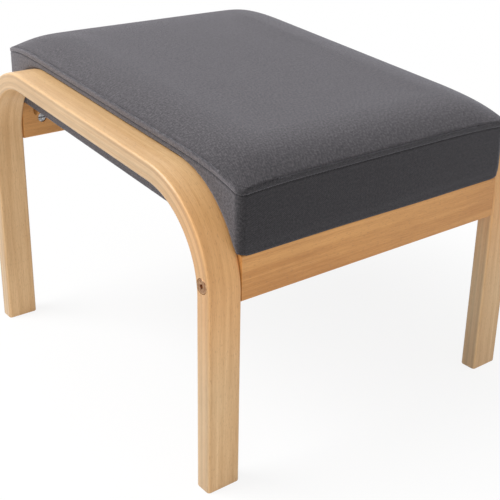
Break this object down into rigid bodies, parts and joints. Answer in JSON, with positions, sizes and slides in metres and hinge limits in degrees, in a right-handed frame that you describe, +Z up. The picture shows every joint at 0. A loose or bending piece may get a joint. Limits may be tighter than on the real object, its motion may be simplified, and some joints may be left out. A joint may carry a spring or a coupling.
{
  "type": "footstool",
  "caption": "Upholstered footstool with bent laminated wood side frames, cross rails and a sloping padded seat for resting the feet or sitting.",
  "frame": {"origin": "on the floor, under the middle of the footstool's bounding box", "axes": "+Z up, the front (the lower end of the seat) faces -Y, the left side frame is at -X"},
  "size_m": [0.507, 0.5524, 0.4355],
  "materials": {
    "bent_beech": "satin lacquer",
    "rail_beech": "satin lacquer",
    "dowel_beech": "raw",
    "plywood": "raw",
    "seat_fabric": "woven",
    "foam": "open cell",
    "wadding": "soft fibre",
    "dust_cloth": "non-woven",
    "bronzed_steel": "bronzed",
    "zinc_steel": "zinc plated"
  },
  "bodies": {
    "root": {"left_side_frame": "bent_beech", "right_side_frame": "bent_beech", "front_rail": "rail_beech", "front_left_frame_bolt": "bronzed_steel", "front_left_barrel_nut": "zinc_steel", "front_left_dowels": "dowel_beech", "front_left_seat_screw": "zinc_steel", "front_right_frame_bolt": "bronzed_steel", "front_right_barrel_nut": "zinc_steel", "front_right_dowels": "dowel_beech", "front_right_seat_screw": "zinc_steel", "back_rail": "rail_beech", "back_left_frame_bolt": "bronzed_steel", "back_left_barrel_nut": "zinc_steel", "back_left_dowels": "dowel_beech", "back_left_seat_screw": "zinc_steel", "back_right_frame_bolt": "bronzed_steel", "back_right_barrel_nut": "zinc_steel", "back_right_dowels": "dowel_beech", "back_right_seat_screw": "zinc_steel", "seat_dust_cover": "dust_cloth", "seat_cover_side_band": "seat_fabric", "seat_base_board": "plywood", "seat_foam": "foam", "seat_wadding": "wadding", "seat_cover_top_panel": "seat_fabric", "seat_staples": "zinc_steel"}
  },
  "joints": []
}
